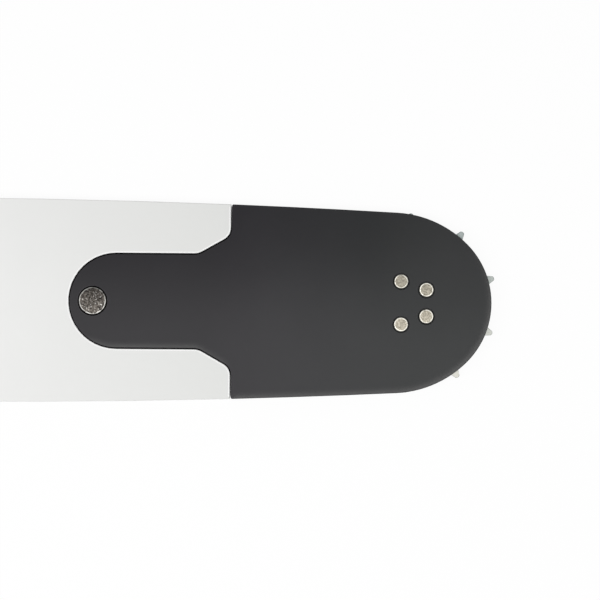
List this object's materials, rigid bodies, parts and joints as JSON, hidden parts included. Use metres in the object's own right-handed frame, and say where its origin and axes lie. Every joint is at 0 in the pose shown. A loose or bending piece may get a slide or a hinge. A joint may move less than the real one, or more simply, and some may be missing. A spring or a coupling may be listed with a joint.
{
  "type": "chain saw guide bar",
  "caption": "Flat chain saw guide bar: pale painted plate with grooved rails and a slotted tail, and a black riveted nose whose toothed sprocket turns on rollers.",
  "frame": {"origin": "centre of the mounting slot, at the bar's mid-thickness", "axes": "+X along the bar to the nose, +Y across the bar, +Z out of the side that faces the camera in the picture"},
  "size_m": [0.6408, 0.0704, 0.0066],
  "materials": {
    "bar_paint": "pale grey satin paint on steel plate",
    "nose_black": "black satin finish on steel plate",
    "core_steel": "plain ground steel",
    "tooth_steel": "bright ground steel",
    "bearing_steel": "hardened ground steel",
    "rivet_nickel": "warm nickel-coloured steel, finely brushed",
    "peened_steel": "rough peened steel"
  },
  "bodies": {
    "bar": {"bar_body": "bar_paint", "nose_plate_upper": "nose_black", "nose_plate_lower": "nose_black", "nose_core": "core_steel", "bearing_race": "bearing_steel", "tongue_rivet": "peened_steel", "nose_rivet_1": "rivet_nickel", "nose_rivet_2": "rivet_nickel", "nose_rivet_3": "rivet_nickel", "nose_rivet_4": "rivet_nickel"},
    "sprocket": {"nose_sprocket": "tooth_steel"},
    "rollers": {"bearing_roller_01": "bearing_steel", "bearing_roller_02": "bearing_steel", "bearing_roller_03": "bearing_steel", "bearing_roller_04": "bearing_steel", "bearing_roller_05": "bearing_steel", "bearing_roller_06": "bearing_steel", "bearing_roller_07": "bearing_steel", "bearing_roller_08": "bearing_steel", "bearing_roller_09": "bearing_steel", "bearing_roller_10": "bearing_steel", "bearing_roller_11": "bearing_steel", "bearing_roller_12": "bearing_steel", "bearing_roller_13": "bearing_steel", "bearing_roller_14": "bearing_steel"}
  },
  "joints": [
    {"name": "sprocket_spin", "type": "hinge", "parent": "bar", "child": "sprocket", "pos_m": [0.542, 0, 0], "axis": [0, 0, 1], "continuous": true},
    {"name": "roller_orbit", "type": "hinge", "parent": "bar", "child": "rollers", "pos_m": [0.542, 0, 0], "axis": [0, 0, 1], "continuous": true}
  ],
  "couplings": [
    {"joint": "roller_orbit", "follows": "sprocket_spin", "ratio": 0.59874}
  ]
}
